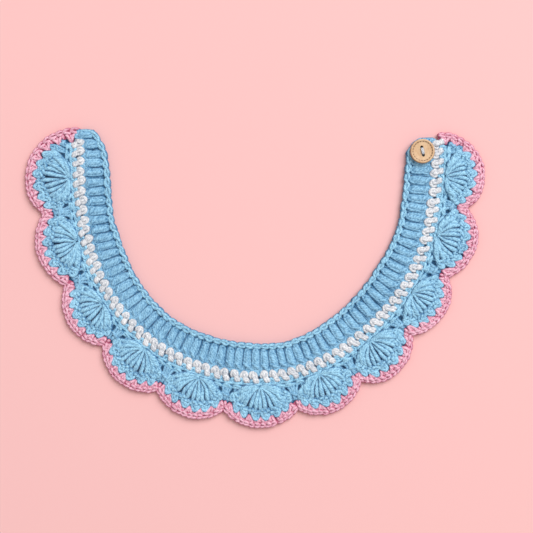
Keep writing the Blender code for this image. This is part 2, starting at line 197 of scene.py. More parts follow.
def yarn_tree():
    """Spins yarn along every strand: a round tube whose UV map runs round it and along it."""
    given = new_tree("spin yarn", (
        ("Strands", "Geometry", None),
        ("Yarn radius", "Float", YARN_RADIUS),
        ("Smoothness", "Int", YARN_SMOOTHNESS),
        ("Material", "Material", None),
    ))
    node = given.node
    strands = node("GeometryNodeCurveSplineType", {"spline_type": "CATMULL_ROM"},
                   {"Curve": given.other("Strands")})
    strands = node("GeometryNodeSetSplineResolution", {},
                   {"Geometry": strands, "Resolution": given.other("Smoothness")})
    strands = store(strands, "yarn_run", node("GeometryNodeSplineParameter", {}, {}, "Length"))
    ring = node("GeometryNodeCurvePrimitiveCircle", {},
                {"Resolution": YARN_SIDES, "Radius": given.other("Yarn radius")})
    ring = store(ring, "yarn_round", node("GeometryNodeSplineParameter", {}, {}, "Factor"))
    thickness = node("ShaderNodeTexNoise", {}, {"Scale": 350.0, "Detail": 1.0}, "Fac")
    tube = node("GeometryNodeCurveToMesh", {},
                {"Curve": strands, "Profile Curve": ring, "Fill Caps": True,
                 "Scale": node("GeometryNodeInputRadius") * (thickness * YARN_SWELL + THINNEST_YARN)})
    rested = given.vector("MAXIMUM", node("GeometryNodeInputPosition"), (NO_LIMIT, NO_LIMIT, TABLE_GAP))
    tube = node("GeometryNodeSetPosition", {}, {"Geometry": tube, "Position": rested})
    # The last strip of faces runs back from the end of the ring to its start, so it gets a whole turn more.
    turn = stored(given, "yarn_round")
    middle = node("GeometryNodeFieldOnDomain", {"data_type": "FLOAT", "domain": "FACE"}, {"Value": turn})
    turn = turn + given.math("GREATER_THAN", middle - turn, 0.3)
    unrolled = node("ShaderNodeCombineXYZ", {}, {"X": turn, "Y": stored(given, "yarn_run")})
    tube = store(tube, "UVMap", unrolled, "FLOAT2", "CORNER")
    # How far each face turns up, which the cotton uses to paint shade down the sides of a strand.
    _, _, facing = axes(node("GeometryNodeInputNormal"))
    tube = store(tube, "facing", given.math("ABSOLUTE", facing))
    tube = node("GeometryNodeSetShadeSmooth", {}, {"Geometry": tube})
    tube = node("GeometryNodeRealizeInstances", {}, {"Geometry": tube})
    tube = node("GeometryNodeSetMaterial", {}, {"Geometry": tube, "Material": given.other("Material")})
    node("NodeGroupOutput", {}, {"Geometry": tube})
    return given.tree


# A track has this many stations to a stitch, and one spare stitch before its start and after its end.
STATIONS = 6
# How far the yarn wanders from its even course, from one side to the other.
WANDER = (1.6 * MM, 1.6 * MM, 0.8 * MM)
# The least and the most that one stitch slips, leans over and grows. A slip is in steps along the row,
# shares of the way across it and metres up, and a lean is in radians.
SLIP = ((-0.06, -0.02, 0.0), (0.06, 0.02, 0.3 * MM))
LEAN = ((0.0, 0.0, -0.1), (0.0, 0.0, 0.1))
GROWTH = ((0.94, 0.98, 0.94), (1.04, 1.02, 1.0))
STITCH_MIDDLE = (0.5, 0.5, 0.0)


def row_tree(yarn):
    """Works a row: repeats one stitch along a track, lays its strands between the track's two edges,
    and spins yarn along them. Stitches are counted along the track, and differ a little."""
    given = new_tree("crochet row", (
        ("Track", "Geometry", None),
        ("Stitch", "Object", None),
        ("Stitches", "Int", 1),
        ("Seed", "Int", 0),
        ("Yarn radius", "Float", YARN_RADIUS),
        ("Material", "Material", None),
    ))
    node = given.node
    seed = given.other("Seed")

    def chance(limits, shift):
        return node("FunctionNodeRandomValue", {"data_type": "FLOAT_VECTOR"},
                    {"Min": limits[0], "Max": limits[1], "Seed": seed + shift})

    stitch = node("GeometryNodeObjectInfo", {}, {"Object": given.other("Stitch")}, "Geometry")
    places = node("GeometryNodeMeshLine", {},
                  {"Count": given.other("Stitches"), "Offset": (1.0, 0.0, 0.0)})
    row = node("GeometryNodeInstanceOnPoints", {}, {"Points": places, "Instance": stitch})
    row = node("GeometryNodeTranslateInstances", {}, {"Instances": row, "Translation": chance(SLIP, 1)})
    row = node("GeometryNodeRotateInstances", {},
               {"Instances": row, "Rotation": chance(LEAN, 3), "Pivot Point": STITCH_MIDDLE})
    row = node("GeometryNodeScaleInstances", {},
               {"Instances": row, "Scale": chance(GROWTH, 2), "Center": STITCH_MIDDLE})
    row = node("GeometryNodeRealizeInstances", {}, {"Geometry": row})

    along, across, height = axes(node("GeometryNodeInputPosition"))
    station = (along + 1.0) * STATIONS
    before = given.math("FLOOR", station)
    share = station - before

    def on_track(value):
        sides = [node("GeometryNodeSampleIndex", {"data_type": "FLOAT_VECTOR"},
                      {"Geometry": given.other("Track"), "Value": value, "Index": index})
                 for index in (before, before + 1.0)]
        return node("ShaderNodeMix", {"data_type": "VECTOR"},
                    {"Factor": share, "A": sides[0], "B": sides[1]})

    inner = on_track(node("GeometryNodeInputPosition"))
    reach, bow = (on_track(stored(given, name, "FLOAT_VECTOR")) for name in ("reach", "bow"))
    spot = given.vector("MULTIPLY_ADD", reach, across, inner)
    spot = given.vector("MULTIPLY_ADD", bow, 4.0 * across * (1.0 - across), spot)
    spot = given.vector("ADD", spot, node("ShaderNodeCombineXYZ", {}, {"Z": height}))
    drift = node("ShaderNodeTexNoise", {}, {"Vector": spot, "Scale": 260.0, "Detail": 1.0}, "Color")
    drift = given.vector("SUBTRACT", drift, (0.5, 0.5, 0.5))
    spot = given.vector("MULTIPLY_ADD", drift, WANDER, spot)
    lowest = node("ShaderNodeCombineXYZ", {},
                  {"X": NO_LIMIT, "Y": NO_LIMIT, "Z": given.other("Yarn radius") + TABLE_GAP})
    spot = given.vector("MAXIMUM", spot, lowest)
    row = node("GeometryNodeSetPosition", {}, {"Geometry": row, "Position": spot})
    spun = node("GeometryNodeGroup", {"node_tree": yarn},
                {"Strands": row, "Yarn radius": given.other("Yarn radius"), "Smoothness": YARN_SMOOTHNESS,
                 "Material": given.other("Material")})
    node("NodeGroupOutput", {}, {"Geometry": spun})
    return given.tree


YARN_TREE = yarn_tree()
ROW_TREE = row_tree(YARN_TREE)


def new_object(name, data):
    item = bpy.data.objects.new(name, data)
    bpy.context.scene.collection.objects.link(item)
    return item


def apply_tree(item, tree, values):
    """Runs a tree on an object and returns the result as a new plain mesh object of the same name."""
    sockets = {socket.name: socket.identifier for socket in tree.interface.items_tree}
    modifier = item.modifiers.new(tree.name, "NODES")
    modifier.node_group = tree
    for name, value in values.items():
        modifier[sockets[name]] = value
    graph = bpy.context.evaluated_depsgraph_get()
    mesh = bpy.data.meshes.new_from_object(item.evaluated_get(graph), depsgraph=graph)
    name = item.name
    bpy.data.objects.remove(item)
    for helper in ("yarn_run", "yarn_round"):
        mesh.attributes.remove(mesh.attributes[helper])
    mesh.name = name
    return new_object(name, mesh)


def strands_object(name, strands):
    """A curve object with one spline a strand; each point is a place and how thick the yarn is there."""
    curve = bpy.data.curves.new(name, "CURVE")
    curve.dimensions = "3D"
    for strand in strands:
        spline = curve.splines.new("POLY")
        spline.points.add(len(strand) - 1)
        for point, (place, thick) in zip(spline.points, strand):
            point.co = (*place, 1.0)
            point.radius = thick
    return new_object(name, curve)


# One bend of a strand in its stitch: step along the row (0 to 1), share of the way across the row,
# height of the yarn's middle in millimetres, and how full the yarn is there.
Bend = namedtuple("Bend", "step across height full", defaults=(1.0,))


def stitch_strands(strands, thickness):
    """The strands of one stitch, front and back. The back is the front turned over in its thickness,
    which is in millimetres."""
    front = [[Bend(*bend) for bend in strand] for strand in strands]
    back = [[bend._replace(height=thickness - bend.height) for bend in strand] for strand in front]
    return [[((bend.step, bend.across, bend.height * MM), bend.full) for bend in strand]
            for strand in front + back]


def crochet(name, track, strands, stitches, thickness, material, seed, radius):
    """Works a whole row. track(place) gives the row's inner point, outer point and bow at a place
    counted in stitches, and strands are the bends of one stitch."""
    mesh = bpy.data.meshes.new(name)
    stations = [track(i / STATIONS - 1.0) for i in range((stitches + 2) * STATIONS + 1)]
    mesh.from_pydata([inner for inner, _, _ in stations], [], [])
    for title, vectors in (("reach", [outer - inner for inner, outer, _ in stations]),
                           ("bow", [bow for _, _, bow in stations])):
        attribute = mesh.attributes.new(title, "FLOAT_VECTOR", "POINT")
        attribute.data.foreach_set("vector", [value for vector in vectors for value in vector])
    stitch = strands_object(f"{name}_stitch", stitch_strands(strands, thickness))
    row = apply_tree(new_object(name, mesh), ROW_TREE, {
        "Stitch": stitch, "Stitches": stitches, "Seed": seed, "Yarn radius": radius, "Material": material,
    })
    bpy.data.objects.remove(stitch)
    return row


# Strands that reach within this much of a row's end, in stitches, are tucked in, to this share of
# their way.
END_CLEARANCE = 0.2
TUCK = 0.1


def straight_track(start, end, stitches, inner, outer):
    """A track along the spine, between two edges that are functions of the distance along it. Strands
    that would run on past its ends are tucked in there."""
    def track(place):
        inside = min(max(place, END_CLEARANCE), stitches - END_CLEARANCE)
        along = blend(start, end, (inside + TUCK * (place - inside)) / stitches)
        return on_collar(along, inner(along)), on_collar(along, outer(along)), Vector()
    return track


def noise(spot, scale, detail, roughness=0.5):
    return spot.node("ShaderNodeTexNoise", {},
                     {"Vector": spot, "Scale": scale, "Detail": detail, "Roughness": roughness}, "Fac")


def soft_step(value, low, high):
    """A smooth step from 0, where the value is low, to 1, where it is high. Low may be the larger."""
    return value.node("ShaderNodeMapRange", {"interpolation_type": "SMOOTHSTEP"},
                      {"Value": value, "From Min": low, "From Max": high})


def mix_colour(share, *colours):
    """Blends from a first colour to a second. Each is red, green and blue, or the result of a mix."""
    low, high = (colour if isinstance(colour, Wire) else (*colour, 1.0) for colour in colours)
    return share.node("ShaderNodeMix", {"data_type": "RGBA", "clamp_factor": True},
                      {"Factor": share, "A": low, "B": high})


def new_material(name, settings):
    """A material whose shader has these settings all over."""
    material = bpy.data.materials.new(name)
    material.use_nodes = True
    for key, value in settings.items():
        material.node_tree.nodes["Principled BSDF"].inputs[key].default_value = value
    return material


def finish_shader(material, colour, rough, bump):
    """Joins what varies over a surface to the material's shader."""
    shader = material.node_tree.nodes["Principled BSDF"]
    for socket, value in (("Base Color", colour), ("Roughness", rough), ("Normal", bump)):
        material.node_tree.links.new(value.socket, shader.inputs[socket])
    return material


# The middle of the cloth's thickness.
CLOTH_MIDDLE = 1.9 * MM


def cotton(name, pale, deep, crown=1.7 * MM):
    """Dyed cotton yarn: plies twisted round each other, with fibres along them and fine flecks. Shade is
    painted into its colour: it is deeper between the plies, down the sides of a strand and low in the cloth,
    where little light comes. The painted light is palest crown above and below the middle, and the colour
    changes a little from place to place."""
    material = new_material(
        name, {"Sheen Weight": 0.3, "Sheen Roughness": 0.5, "Specular IOR Level": 0.25})
    start = Wire(material.node_tree)
    node = start.node
    turn, run, _ = axes(node("ShaderNodeUVMap", {"uv_map": "UVMap"}))
    spot = node("ShaderNodeTexCoord", {}, {}, "Object")
    ply = turn * YARN_PLIES + run * (YARN_PLIES / PLY_TURN) + noise(spot, 300.0, 2.0) * 2.0
    crest = start.math("ABSOLUTE", start.math("SINE", ply * math.pi))
    fibre = noise(node("ShaderNodeCombineXYZ", {}, {"X": ply * 3.0, "Y": run * 900.0}), 1.0, 2.0)
    fleck = noise(spot, 600.0, 2.0, roughness=0.85)
    cloud = noise(spot, 60.0, 3.0)
    _, _, height = axes(spot)
    # Painted light by height: palest crown away from the middle of the cloth, deeper low in it.
    painted_height_light = soft_step(start.math("ABSOLUTE", height - CLOTH_MIDDLE), 0.2 * MM, crown)
    # Painted shade down the sides of a strand, where its faces turn away from straight up.
    top = soft_step(node("ShaderNodeAttribute", {"attribute_name": "facing"}, {}, "Fac"), 0.2, 0.95)
    # The tone is also deeper between the plies, which is painted shade; fibre, fleck and cloud vary it at
    # random.
    tone = crest * 0.25 + fibre * 0.5 + fleck * 1.9 + cloud * 0.3 + painted_height_light * 0.7 + top * 0.9 - 2.35
    relief = crest * 0.4 + fibre * 0.3 + fleck * 0.8
    bump = node("ShaderNodeBump", {}, {"Height": relief, "Strength": 0.9, "Distance": 0.45 * MM})
    return finish_shader(material, mix_colour(tone, deep, pale), 0.95 - crest * 0.1, bump)


BLUE_PALE = (0.43, 0.78, 1.0)
BLUE_COTTON = cotton("sky blue cotton", BLUE_PALE, deep=(0.05, 0.21, 0.40))

STITCHES = 70
ROW_START = -4.6 * MM
ROW_END = 415.0 * MM
CHAIN_WIDTH = 3.3 * MM
CHAIN_THICKNESS = 3.7

CHAIN_LINK = (
    ((-0.25, 0.80, 1.8), (0.00, 0.58, 2.7), (0.35, 0.26, 3.0), (0.75, 0.20, 2.9), (1.05, 0.40, 2.0)),
    ((-0.12, 0.16, 1.8), (0.18, 0.44, 2.5), (0.55, 0.80, 2.8), (0.95, 0.80, 2.6), (1.20, 0.55, 1.8)),
    ((-0.10, 0.50, 2.0), (0.50, 0.55, 2.3), (1.10, 0.50, 2.0)),
)
neck_chain = crochet(
    "neck_chain_yarn",
    straight_track(ROW_START, ROW_END, STITCHES, neck_edge, lambda along: neck_edge(along) + CHAIN_WIDTH),
    CHAIN_LINK, STITCHES, CHAIN_THICKNESS, BLUE_COTTON, seed=11, radius=1.0 * MM)
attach(neck_chain, "root")
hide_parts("neck_chain")

# ---- neck band
# One row of seventy double crochets in the blue cotton: plump upright bars, each a folded strand over
# a fat one, bound near its outer end by a slanting wrap. Two of them part round the small buttonhole.
BAND_OUTER = -4.0 * MM
BAND_TIP_OUTER = -0.4 * MM
BAND_TIP = (0.0, 3.0 * MM)
BAND_THICKNESS = 3.8
BUTTONHOLE_PLACE = (6.9 * MM, -9.8 * MM)
BUTTONHOLE_RADIUS = 1.0 * MM
BUTTONHOLE_REACH = 5.0 * MM

DOUBLE_CROCHET = (
    ((0.26, 1.05, 1.6), (0.21, 0.88, 2.1), (0.22, 0.62, 2.25), (0.23, 0.24, 2.25), (0.32, 0.08, 2.1),
     (0.50, 0.01, 2.1), (0.68, 0.08, 2.1), (0.77, 0.24, 2.25), (0.78, 0.62, 2.25), (0.79, 0.88, 2.1),
     (0.74, 1.05, 1.6)),
    ((0.47, 0.10, 2.0, 1.1), (0.49, 0.26, 2.1, 1.45), (0.52, 0.55, 2.15, 1.5), (0.50, 0.84, 2.1, 1.3),
     (0.50, 1.03, 1.6)),
    ((0.12, 0.64, 1.8), (0.30, 0.70, 2.6), (0.54, 0.79, 3.2), (0.76, 0.89, 2.6), (0.90, 0.99, 1.7)),
    ((-0.10, 0.98, 2.0), (0.25, 1.02, 2.3), (0.60, 1.02, 2.3), (1.05, 0.98, 2.0)),
    ((0.00, -0.02, 2.0, 0.5), (0.00, 0.40, 2.0, 0.5), (0.00, 0.78, 1.9, 0.8), (0.00, 0.96, 2.3, 1.1)),
    ((0.54, 0.98, 1.9), (0.64, 1.09, 2.3), (0.78, 1.19, 2.3), (0.92, 1.09, 2.3), (1.02, 0.98, 1.9)),
    ((0.78, 1.00, 2.0), (0.78, 1.12, 2.1)),
)


def band_outer(along):
    """At the left tip the first bar runs on over the end of the white row."""
    share = (along - BAND_TIP[0]) / (BAND_TIP[1] - BAND_TIP[0])
    return blend(BAND_TIP_OUTER, BAND_OUTER, min(max(share, 0.0), 1.0))


# The wide bars lie closer than the strands of the other rows. Their cotton is the same blue with a
# dimmer pale colour and a deeper dark one: painted shade, so that it looks a little deeper.
BAND_COTTON_IN_PAINTED_SHADE = cotton("sky blue cotton of the bars", pale=(0.35, 0.66, 0.90), deep=(0.04, 0.18, 0.36),
                     crown=2.0 * MM)
neck_band = crochet(
    "neck_band_yarn",
    straight_track(ROW_START, ROW_END, STITCHES, lambda along: neck_edge(along) + CHAIN_WIDTH, band_outer),
    DOUBLE_CROCHET, STITCHES, BAND_THICKNESS, BAND_COTTON_IN_PAINTED_SHADE, seed=23, radius=1.3 * MM)
hole = on_collar(*BUTTONHOLE_PLACE).to_2d()
for vertex in neck_band.data.vertices:
    away = vertex.co.to_2d() - hole
    if away.length < BUTTONHOLE_REACH:
        parted = blend(BUTTONHOLE_RADIUS, BUTTONHOLE_REACH, away.length / BUTTONHOLE_REACH)
        vertex.co.xy = hole + away.normalized() * parted
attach(neck_band, "root")
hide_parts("neck_band")

# ---- row ends
# At both ends of the band one strand of the blue cotton turns over the ends of its bars, from the
# neck chain to the white row, and leaves them round and closed.
END_YARN_RADIUS = 1.2 * MM
END_YARN_HEIGHT = 2.4 * MM
# Places along the spine and out from it, in millimetres.
END_TURNS = (
    ((1.2, -13.0), (-1.6, -11.2), (-3.2, -8.8), (-3.6, -5.8), (-3.5, -2.4), (-2.8, 0.4)),
    ((411.4, -14.6), (413.2, -11.6), (413.9, -8.2), (413.9, -4.4), (413.2, -1.8)),
)
for index, places in enumerate(END_TURNS):
    strand = [(on_collar(along * MM, out * MM, END_YARN_HEIGHT), 1.0) for along, out in places]
    end_turn = apply_tree(strands_object(f"end_turn_{index}_yarn", [strand]), YARN_TREE,
                          {"Yarn radius": END_YARN_RADIUS, "Smoothness": 4, "Material": BLUE_COTTON})
    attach(end_turn, "root")

# ---- white row
# One row of single crochets in white cotton. Each is a round loop towards the neck with a short leg
# of two strands that slants outwards over the blue row. It starts beside the second bar of the band.
WHITE_COTTON = cotton("white cotton", pale=(0.92, 0.92, 0.94), deep=(0.24, 0.30, 0.39))
WHITE_START = 1.4 * MM
WHITE_INNER = -3.7 * MM
WHITE_OUTER = 2.7 * MM
WHITE_THICKNESS = 4.1

SINGLE_CROCHET = (
    ((0.15, 0.70, 1.9), (-0.02, 0.48, 2.7), (-0.03, 0.22, 2.9), (0.22, 0.03, 2.9), (0.50, 0.15, 2.9),
     (0.60, 0.42, 2.7), (0.48, 0.68, 1.9)),
    ((0.26, 0.10, 2.4), (0.28, 0.36, 3.2, 1.3), (0.33, 0.62, 2.5)),
    ((0.30, 0.42, 2.6), (0.44, 0.72, 2.9, 1.2), (0.56, 0.92, 2.8, 1.2), (0.63, 1.08, 1.9)),
    ((0.50, 0.46, 2.5), (0.66, 0.74, 2.8, 1.2), (0.76, 0.90, 2.7, 1.2), (0.82, 1.03, 1.9)),
)
white_row = crochet(
    "white_row_yarn",
    straight_track(WHITE_START, ROW_END, STITCHES - 1, lambda along: WHITE_INNER, lambda along: WHITE_OUTER),
    SINGLE_CROCHET, STITCHES - 1, WHITE_THICKNESS, WHITE_COTTON, seed=37, radius=1.25 * MM)
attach(white_row, "root")
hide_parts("white_row")

# ---- blue row
# One row of single crochets in the blue cotton again, low and flat. Each has two strands along the
# row, a slanting one between them, and a loop that comes up between two legs of the white row.
BLUE_START = 3.2 * MM
BLUE_END = 410.8 * MM
BLUE_INNER = 3.0 * MM
BLUE_OUTER = 6.7 * MM
BLUE_THICKNESS = 3.7

LOW_CROCHET = (
    ((0.58, 0.22, 1.9), (0.62, -0.24, 2.5), (0.85, -0.54, 2.6), (1.08, -0.24, 2.5), (1.12, 0.22, 1.9)),
    ((0.85, 0.30, 2.0), (0.85, -0.25, 2.4)),
    ((-0.12, 0.38, 1.8), (0.15, 0.24, 2.5), (0.42, 0.42, 2.8), (0.68, 0.26, 2.6), (0.98, 0.40, 1.8)),
    ((0.08, 0.85, 1.8), (0.28, 0.66, 2.6), (0.54, 0.72, 2.8), (0.74, 0.94, 2.4), (0.84, 1.16, 1.6)),
    ((-0.10, 0.98, 1.7), (0.30, 1.02, 2.3), (0.70, 0.92, 2.3), (1.10, 1.00, 1.7)),
)
blue_row = crochet(
    "blue_row_yarn",
    straight_track(BLUE_START, BLUE_END, STITCHES - 2, lambda along: BLUE_INNER, lambda along: BLUE_OUTER),
    LOW_CROCHET, STITCHES - 2, BLUE_THICKNESS, BLUE_COTTON, seed=41, radius=1.15 * MM)
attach(blue_row, "root")
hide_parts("blue_row")

# ---- shells
# Eleven shells in the blue cotton, each of ten double crochets worked into one stitch of the blue
# row, so that their plump legs spread like a fan and bend aside. Six end in small knots and a
# rounded tooth at the rim, and the outer two on each side lie along the row.
Shell = namedtuple("Shell", "middle crown")
SHELLS = [Shell(middle * MM, crown * MM) for middle, crown in (
    (25.2, 32.3), (63.2, 30.9), (103.0, 29.9), (138.7, 31.0), (174.5, 30.9), (210.8, 30.6),
    (245.8, 30.5), (281.3, 31.3), (318.9, 29.0), (356.0, 30.3), (391.5, 29.1),
)]
Valley = namedtuple("Valley", "along mouth")
VALLEYS = [Valley(along * MM, mouth * MM) for along, mouth in (
    (45.0, 23.2), (84.5, 20.9), (121.0, 20.9), (156.2, 23.3), (191.8, 21.3),
    (229.5, 22.2), (264.1, 22.0), (300.4, 21.1), (336.2, 20.3), (374.5, 20.2),
)]
EDGING_LEFT_END = (1.3 * MM, -5.4 * MM)
EDGING_RIGHT_END = (413.1 * MM, 417.9 * MM)
EDGING_END_OUT = BLUE_INNER + 0.3 * MM
SCALLOP_CENTRE_OUT = 1.7 * MM
EDGING_WIDTH = 5.0 * MM
VALLEY_WIDTH = 6.2 * MM
TEETH = 6
FLANK_STITCHES = 2
SHELL_STITCHES = TEETH + 2 * FLANK_STITCHES
SHELL_SHARE = 0.9
END_SHELL_ANGLE = math.radians(49.0)
SHELL_ROOT_OUT = 5.0 * MM
SHELL_ROOT_RADIUS = 0.7 * MM
SHELL_BOW = 3.4 * MM
FLANK_BOW = 0.4
SHELL_THICKNESS = 4.5

# The rim beyond the last tooth comes back to the row: shares of the way to the valley, and out from
# the spine.
SHELL_FLANK = ((0.88, 12.6 * MM), (0.78, 11.2 * MM), (0.66, 9.4 * MM))
END_SHELL_REACH = 18.0 * MM
# Past the last of them it may run on by up to half a step more.
FLANK_OVERRUN = 1.5

Side = namedtuple("Side", "inner_angle inner_radius outer_angle outer_radius shell_angle")


def shell_frame(shell):
    """The centre that a scallop is drawn round, and the directions along the row and out from it."""
    point, heading = spine(shell.middle)
    forward = Vector((math.cos(heading), math.sin(heading), 0.0))
    outward = Vector((math.sin(heading), -math.cos(heading), 0.0))
    return point.to_3d() + SCALLOP_CENTRE_OUT * outward, forward, outward


def scallop_point(shell, angle, radius):
    """A point round the centre of a scallop; angle 0 is straight out, positive towards the right end."""
    centre, forward, outward = shell_frame(shell)
    return centre + radius * (math.sin(angle) * forward + math.cos(angle) * outward)


def edging_corners(index, direction):
    """Inner and outer corner of the edging at one flank of a scallop. direction is -1 or 1."""
    place = index + (direction - 1) // 2
    if 0 <= place < len(VALLEYS):
        valley = VALLEYS[place]
        return on_collar(valley.along, valley.mouth - VALLEY_WIDTH), on_collar(valley.along, valley.mouth)
    inner, outer = EDGING_LEFT_END if place < 0 else EDGING_RIGHT_END
    return on_collar(inner, EDGING_END_OUT), on_collar(outer, EDGING_END_OUT)


def scallop_side(index, direction):
    """Angles and radii at which one flank of a scallop meets its valley or the end of the edging."""
    centre, forward, outward = shell_frame(SHELLS[index])
    inner, outer = (corner - centre for corner in edging_corners(index, direction))
    inner_angle = abs(math.atan2(inner.dot(forward), inner.dot(outward)))
    outer_angle = abs(math.atan2(outer.dot(forward), outer.dot(outward)))
    return Side(inner_angle, inner.length, outer_angle, outer.length,
                min(SHELL_SHARE * inner_angle, END_SHELL_ANGLE))


SIDES = [(scallop_side(index, -1), scallop_side(index, 1)) for index in range(len(SHELLS))]


def edging_sides(index, angle):
    """A point on the line between shell and edging, and the one beside it on the outer edge."""
    shell = SHELLS[index]
    side = SIDES[index][angle > 0]
    share = abs(angle) / side.inner_angle
    crown = shell.crown - SCALLOP_CENTRE_OUT
    inner_radius = blend(crown - EDGING_WIDTH, side.inner_radius, share ** 2)
    outer_radius = blend(crown, side.outer_radius, share ** 2)
    outer_angle = math.copysign(share * side.outer_angle, angle)
    return scallop_point(shell, angle, inner_radius), scallop_point(shell, outer_angle, outer_radius)


def shell_rim(index, swing):
    """The rim of a fan: swing is 1 at the end of its teeth, and runs on down the flank."""
    direction = 1 if swing > 0 else -1
    last_angle = direction * min(abs(swing), 1.0) * SIDES[index][swing > 0].shell_angle
    last_tooth, _ = edging_sides(index, last_angle)
    if abs(swing) <= 1.0:
        return last_tooth
    middle = SHELLS[index].middle
    place = index + (direction - 1) // 2
    reach = abs(VALLEYS[place].along - middle) if 0 <= place < len(VALLEYS) else END_SHELL_REACH
    stops = [last_tooth] + [on_collar(middle + direction * share * reach, out) for share, out in SHELL_FLANK]
    way = (abs(swing) - 1.0) * TEETH / 2 / FLANK_STITCHES * len(SHELL_FLANK)
    step = min(int(way), len(SHELL_FLANK) - 1)
    return stops[step].lerp(stops[step + 1], min(way - step, FLANK_OVERRUN))


def shell_track(index):
    """Runs round the fan from its left flank to its right one, between its root and its rim."""
    point, _ = spine(SHELLS[index].middle)
    _, _, outward = shell_frame(SHELLS[index])
    root = point.to_3d() + SHELL_ROOT_OUT * outward

    def track(place):
        swing = (place - SHELL_STITCHES / 2) / (TEETH / 2)
        tip = shell_rim(index, swing)
        ray = (tip - root).normalized()
        sideways = Vector((-ray.y, ray.x, 0.0))
        # The legs in the middle are straight. The bend grows to its full size half way to the last tooth.
        bow = math.copysign(min(2.0 * abs(swing), 1.0) * (1.0 if abs(swing) < 1.0 else FLANK_BOW), swing)
        return root + SHELL_ROOT_RADIUS * ray, tip, SHELL_BOW * bow * sideways
    return track


FAN_CROCHET = (
    ((0.50, 0.00, 3.3, 0.65), (0.50, 0.13, 3.5, 0.90), (0.50, 0.30, 3.6, 1.25), (0.50, 0.48, 3.5, 1.60),
     (0.50, 0.63, 3.2, 1.55), (0.50, 0.75, 2.3, 1.00)),
    ((0.00, 0.10, 2.6, 0.55), (0.00, 0.23, 2.9, 0.80), (0.00, 0.38, 3.1, 1.15), (0.00, 0.54, 3.1, 1.50),
     (0.00, 0.67, 2.8, 1.40), (0.00, 0.78, 2.2, 0.90)),
    ((0.50, 0.55, 2.3), (0.50, 0.75, 2.5, 1.2), (0.50, 0.95, 2.2, 1.2)),
    ((0.18, 0.66, 2.2), (0.18, 0.84, 2.6, 1.2), (0.31, 0.95, 2.8, 1.2), (0.50, 0.99, 2.9, 1.2),
     (0.69, 0.95, 2.8, 1.2), (0.82, 0.84, 2.6, 1.2), (0.82, 0.66, 2.2)),
    ((0.00, 0.68, 2.2), (0.00, 0.84, 2.3, 1.2), (0.00, 0.92, 1.9)),
    ((0.12, 0.75, 2.4), (0.26, 0.74, 3.3, 1.3), (0.40, 0.75, 2.4)),
    ((0.60, 0.76, 2.4), (0.74, 0.75, 3.3, 1.3), (0.88, 0.76, 2.4)),
    ((-0.14, 0.82, 2.3), (0.00, 0.82, 3.0, 1.3), (0.14, 0.83, 2.3)),
    ((0.36, 0.80, 2.3), (0.50, 0.80, 3.2, 1.4), (0.64, 0.81, 2.3)),
    ((0.30, 0.84, 2.3), (0.44, 0.87, 3.2, 1.2), (0.52, 0.93, 2.5)),
    ((0.52, 0.82, 2.3), (0.60, 0.88, 3.2, 1.2), (0.68, 0.95, 2.3)),
)
# The shells stand higher than the rows, so their painted light by height is palest further from the
# middle, and their painted shade is a little deeper.
SHELL_COTTON_WITH_PAINTED_SHADE = cotton("sky blue cotton of the shells", BLUE_PALE, deep=(0.03, 0.16, 0.35), crown=2.2 * MM)
for index in range(len(SHELLS)):
    shell = crochet(f"shell_{index + 1:02d}_yarn", shell_track(index), FAN_CROCHET, SHELL_STITCHES,
                    SHELL_THICKNESS, SHELL_COTTON_WITH_PAINTED_SHADE, seed=60 + index, radius=1.05 * MM)
    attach(shell, "root")
    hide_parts(f"shell_{index + 1:02d}")

# ---- anchors
# Short stitches in the blue cotton hold the shells down. Between each two shells it is one single
# crochet under a bar, with a strand on each side that leaves a small hole beside it. Outside the
# first and the last shell there are two plain ones.
ANCHOR_FOOT = 6.6 * MM
ANCHOR_HALF_WIDTH = 3.4 * MM
ANCHOR_THICKNESS = 3.6


def mirrored(strand):
    """A strand, and its mirror image across the middle of the stitch."""
    return strand, [(1.0 - step, *rest) for step, *rest in strand]


ANCHOR_CROCHET = (
    *mirrored(((0.02, -0.05, 1.8), (0.17, 0.15, 2.5), (0.26, 0.40, 2.6), (0.23, 0.72, 2.5),
               (0.22, 1.10, 1.9))),
    *mirrored(((0.36, -0.05, 1.8), (0.44, 0.25, 2.7), (0.46, 0.60, 2.8), (0.48, 0.98, 2.4))),
    ((0.10, 0.50, 2.2), (0.35, 0.56, 3.1, 1.1), (0.65, 0.64, 3.1, 1.1), (0.90, 0.70, 2.2)),
    *mirrored(((-0.45, 0.90, 1.7), (-0.10, 0.94, 2.4), (0.20, 0.92, 2.2), (0.50, 0.96, 1.9))),
    *mirrored(((-0.46, -0.10, 1.6), (-0.30, 0.15, 2.3), (-0.32, 0.50, 2.2), (-0.20, 0.85, 1.8))),
)
END_CROCHET = (
    ((0.30, -0.05, 1.8, 0.8), (0.26, 0.30, 2.4), (0.24, 0.70, 2.4), (0.32, 0.92, 2.2), (0.50, 1.00, 2.0),
     (0.68, 0.92, 2.2), (0.76, 0.70, 2.4), (0.74, 0.30, 2.4), (0.70, -0.05, 1.8, 0.8)),
    ((0.50, 0.00, 1.9), (0.50, 0.40, 2.2), (0.50, 0.80, 2.4)),
    ((0.00, 0.42, 2.0, 0.8), (0.25, 0.48, 2.6), (0.50, 0.58, 2.8), (0.75, 0.68, 2.6), (1.00, 0.74, 2.0, 0.8)),
)
# The stitches beside an end shell: where the first and the last stand on the row, and the angles of
# their heads.
END_STITCHES = 2
END_FEET = ((10.5 * MM, 4.0 * MM), (404.8 * MM, 410.6 * MM))
END_HEADS = (math.radians(48.5), math.radians(78.5))


def anchor_track(valley):
    def track(place):
        along = valley.along + (2.0 * place - 1.0) * ANCHOR_HALF_WIDTH
        return on_collar(along, ANCHOR_FOOT), on_collar(along, valley.mouth - VALLEY_WIDTH), Vector()
    return track


